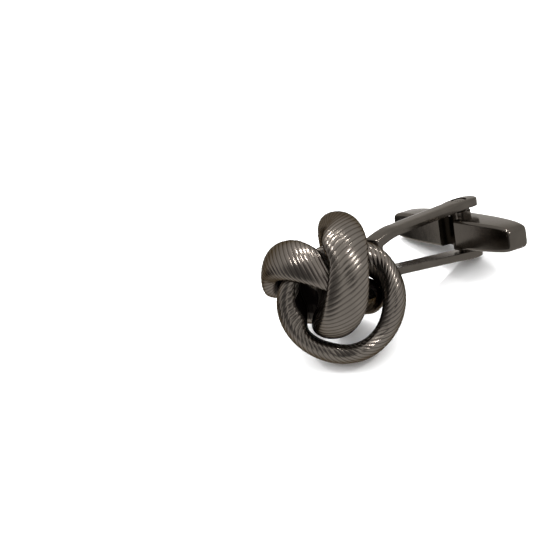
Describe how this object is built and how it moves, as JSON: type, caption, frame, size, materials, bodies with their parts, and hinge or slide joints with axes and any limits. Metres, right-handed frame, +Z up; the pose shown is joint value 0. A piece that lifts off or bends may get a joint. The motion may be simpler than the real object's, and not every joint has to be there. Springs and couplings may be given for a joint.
{
  "type": "knot cufflink",
  "caption": "Knot cufflink: interlaced grooved half-round bands on a forked post, with a whale-back toggle that swings on a rivet pin.",
  "frame": {"origin": "middle of the box's bottom face, on the surface that the cufflink lies on", "axes": "+Z up from that surface; the fork runs along X, rising towards the knot at -X, with the toggle at +X lying roughly along Y"},
  "size_m": [0.0274, 0.0192, 0.0159],
  "materials": {
    "knot_metal": "polished gunmetal plating, finely grooved",
    "finding_metal": "polished gunmetal plating",
    "pin_metal": "polished gunmetal plating, lighter"
  },
  "bodies": {
    "post": {"ring_a": "knot_metal", "ring_b": "knot_metal", "ring_c": "knot_metal", "fork": "finding_metal", "pivot_pin": "pin_metal"},
    "toggle": {"toggle": "finding_metal"}
  },
  "joints": [
    {"name": "toggle_swing", "type": "hinge", "parent": "post", "child": "toggle", "pos_m": [0.0106, 0, 0.00387], "axis": [0.3103, 0.2902, 0.9053], "range_deg": [-90, 90]}
  ]
}
